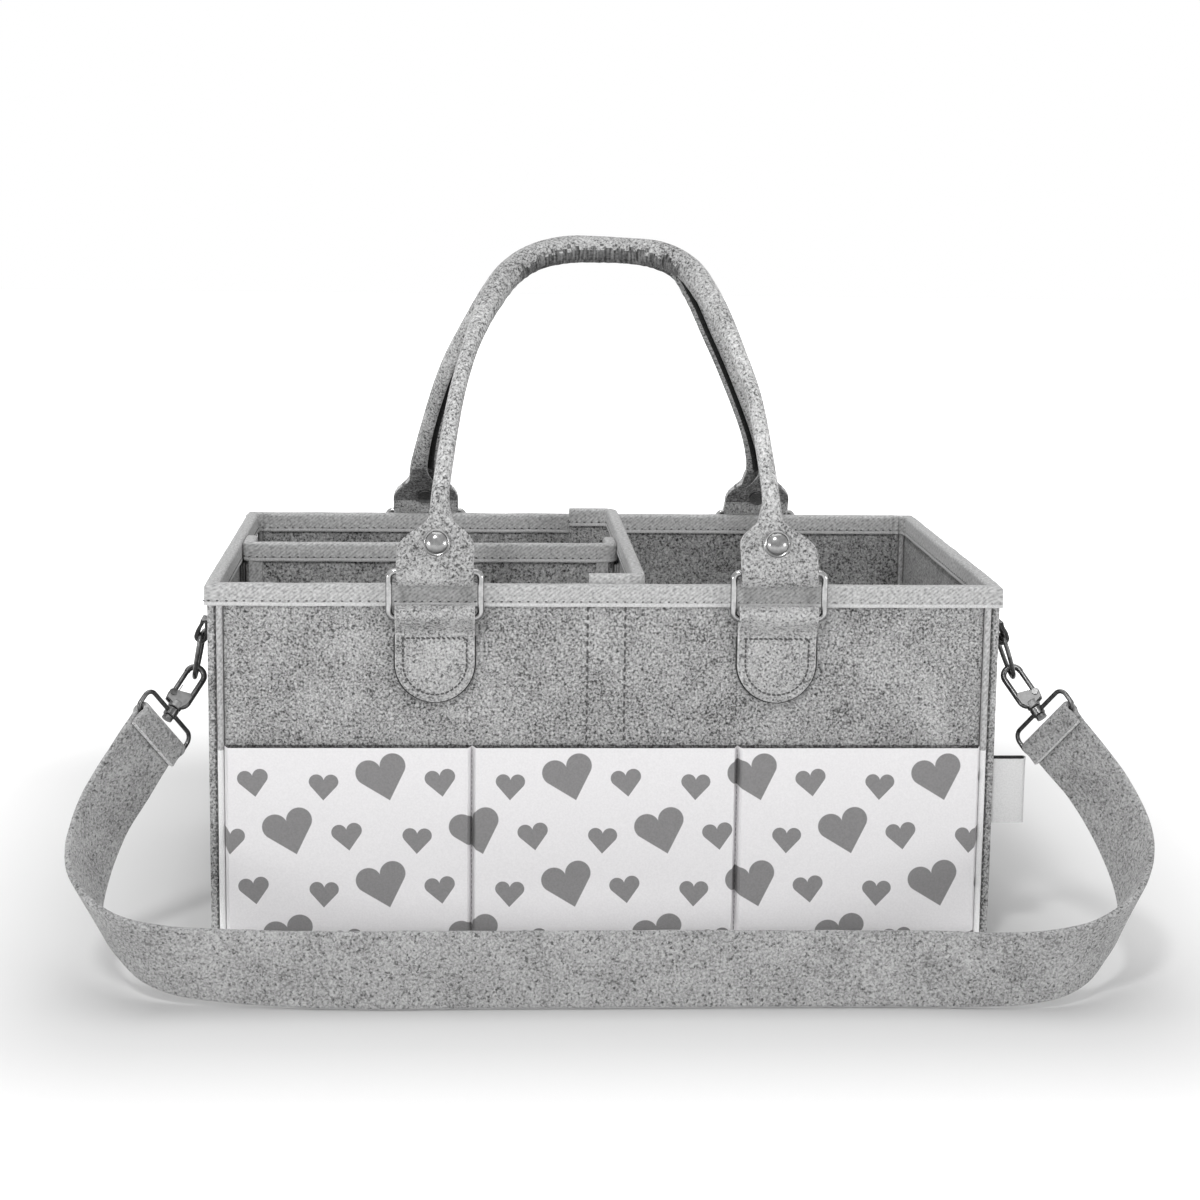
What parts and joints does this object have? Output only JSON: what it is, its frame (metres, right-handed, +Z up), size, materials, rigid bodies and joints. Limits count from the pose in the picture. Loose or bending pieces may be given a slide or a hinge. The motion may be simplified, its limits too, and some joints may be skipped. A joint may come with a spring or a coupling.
{
  "type": "diaper caddy",
  "caption": "Open felt caddy with front pockets, bound rim, lift-out dividers, rolled carrying handles on wire rings and a clip-on shoulder strap with swivel hooks.",
  "frame": {"origin": "middle of the underside of the base panel, on the surface that the caddy stands on", "axes": "+Z up, +X to the right along the caddy's length, front with the pockets towards -Y"},
  "size_m": [0.5095, 0.3615, 0.3434],
  "materials": {
    "felt": "mottled grey needle felt",
    "strap_felt": "mottled grey needle felt",
    "binding_tape": "pale grey ribbed tape",
    "printed_cloth": "white cloth with scattered grey hearts",
    "label_ribbon": "blank white satin ribbon",
    "hook_and_loop": "grey hook-and-loop tape",
    "bright_metal": "polished nickel plate",
    "dark_metal": "dark nickel plate"
  },
  "bodies": {
    "shell": {"base_panel": "felt", "front_panel": "felt", "back_panel": "felt", "left_panel": "felt", "right_panel": "felt", "rim_binding": "binding_tape", "front_left_corner_binding": "binding_tape", "front_right_corner_binding": "binding_tape", "back_left_corner_binding": "binding_tape", "back_right_corner_binding": "binding_tape", "pocket_panel": "printed_cloth", "side_label": "label_ribbon", "front_left_anchor_tab": "felt", "front_right_anchor_tab": "felt", "back_left_anchor_tab": "felt", "back_right_anchor_tab": "felt", "left_side_tab": "felt", "right_side_tab": "felt", "front_loop_strip": "hook_and_loop", "back_loop_strip": "hook_and_loop", "left_loop_strip": "hook_and_loop", "shoulder_strap": "strap_felt", "left_strap_loop": "dark_metal", "right_strap_loop": "dark_metal"},
    "front_left_ring": {"front_left_ring": "bright_metal"},
    "front_right_ring": {"front_right_ring": "bright_metal"},
    "front_handle": {"front_handle": "felt", "front_left_rivet": "bright_metal", "front_right_rivet": "bright_metal"},
    "back_left_ring": {"back_left_ring": "bright_metal"},
    "back_right_ring": {"back_right_ring": "bright_metal"},
    "back_handle": {"back_handle": "felt", "back_left_rivet": "bright_metal", "back_right_rivet": "bright_metal"},
    "cross_divider": {"cross_divider": "felt", "cross_divider_binding": "binding_tape", "cross_front_hook_strip": "hook_and_loop", "cross_back_hook_strip": "hook_and_loop", "cross_loop_strip": "hook_and_loop"},
    "length_divider": {"length_divider": "felt", "length_divider_binding": "binding_tape", "length_left_hook_strip": "hook_and_loop", "length_right_hook_strip": "hook_and_loop"},
    "left_side_ring": {"left_side_ring": "dark_metal"},
    "right_side_ring": {"right_side_ring": "dark_metal"},
    "left_hook": {"left_hook": "dark_metal", "left_gate_pin": "dark_metal", "left_gate_spring": "bright_metal", "left_swivel_post": "dark_metal"},
    "right_hook": {"right_hook": "dark_metal", "right_gate_pin": "dark_metal", "right_gate_spring": "bright_metal", "right_swivel_post": "dark_metal"},
    "left_gate": {"left_gate": "dark_metal"},
    "right_gate": {"right_gate": "dark_metal"}
  },
  "joints": [
    {"name": "front_ring_swing", "type": "hinge", "parent": "shell", "child": "front_left_ring", "pos_m": [-0.082, -0.1311, 0.1665], "axis": [1, 0, 0], "range_deg": [0, 90]},
    {"name": "front_right_ring_swing", "type": "hinge", "parent": "shell", "child": "front_right_ring", "pos_m": [0.082, -0.1311, 0.1665], "axis": [1, 0, 0], "range_deg": [0, 90]},
    {"name": "front_handle_swing", "type": "hinge", "parent": "front_left_ring", "child": "front_handle", "pos_m": [-0.082, -0.1311, 0.1865], "axis": [1, 0, 0], "range_deg": [0, 85]},
    {"name": "back_ring_swing", "type": "hinge", "parent": "shell", "child": "back_left_ring", "pos_m": [-0.09, 0.1311, 0.16], "axis": [-1, 0, 0], "range_deg": [0, 90]},
    {"name": "back_right_ring_swing", "type": "hinge", "parent": "shell", "child": "back_right_ring", "pos_m": [0.1, 0.1311, 0.16], "axis": [-1, 0, 0], "range_deg": [0, 90]},
    {"name": "back_handle_swing", "type": "hinge", "parent": "back_left_ring", "child": "back_handle", "pos_m": [-0.09, 0.1311, 0.18], "axis": [-1, 0, 0], "range_deg": [0, 85]},
    {"name": "cross_divider_lift", "type": "slide", "parent": "shell", "child": "cross_divider", "axis": [0, 0, 1], "range_m": [0, 0.12]},
    {"name": "length_divider_lift", "type": "slide", "parent": "shell", "child": "length_divider", "axis": [0, 0, 1], "range_m": [0, 0.12]},
    {"name": "left_side_ring_rock", "type": "hinge", "parent": "shell", "child": "left_side_ring", "pos_m": [-0.1938, -0.109, 0.1526], "axis": [0, 1, 0], "range_deg": [-1.5, 0.5]},
    {"name": "right_side_ring_rock", "type": "hinge", "parent": "shell", "child": "right_side_ring", "pos_m": [0.1938, -0.109, 0.1526], "axis": [0, -1, 0], "range_deg": [-1.5, 0.5]},
    {"name": "left_hook_swivel", "type": "hinge", "parent": "shell", "child": "left_hook", "pos_m": [-0.20616, -0.11831, 0.1193], "axis": [0.469, 0.5446, 0.6953], "range_deg": [-10, 10]},
    {"name": "right_hook_swivel", "type": "hinge", "parent": "shell", "child": "right_hook", "pos_m": [0.20949, -0.11831, 0.1202], "axis": [-0.469, 0.5446, 0.6953], "range_deg": [-10, 10]},
    {"name": "left_gate_press", "type": "hinge", "parent": "left_hook", "child": "left_gate", "pos_m": [-0.2078, -0.11603, 0.12466], "axis": [-0.3046, 0.8387, -0.4515], "range_deg": [0, 7], "stiffness_Nm_per_rad": 0.02, "springref_deg": -17.19, "deforming": ["left_gate_spring"]},
    {"name": "right_gate_press", "type": "hinge", "parent": "right_hook", "child": "right_gate", "pos_m": [0.21113, -0.11603, 0.12555], "axis": [-0.3046, -0.8387, 0.4515], "range_deg": [0, 7], "stiffness_Nm_per_rad": 0.02, "springref_deg": -17.19, "deforming": ["right_gate_spring"]}
  ],
  "couplings": [
    {"joint": "front_right_ring_swing", "follows": "front_ring_swing", "ratio": 1},
    {"joint": "back_right_ring_swing", "follows": "back_ring_swing", "ratio": 1}
  ]
}
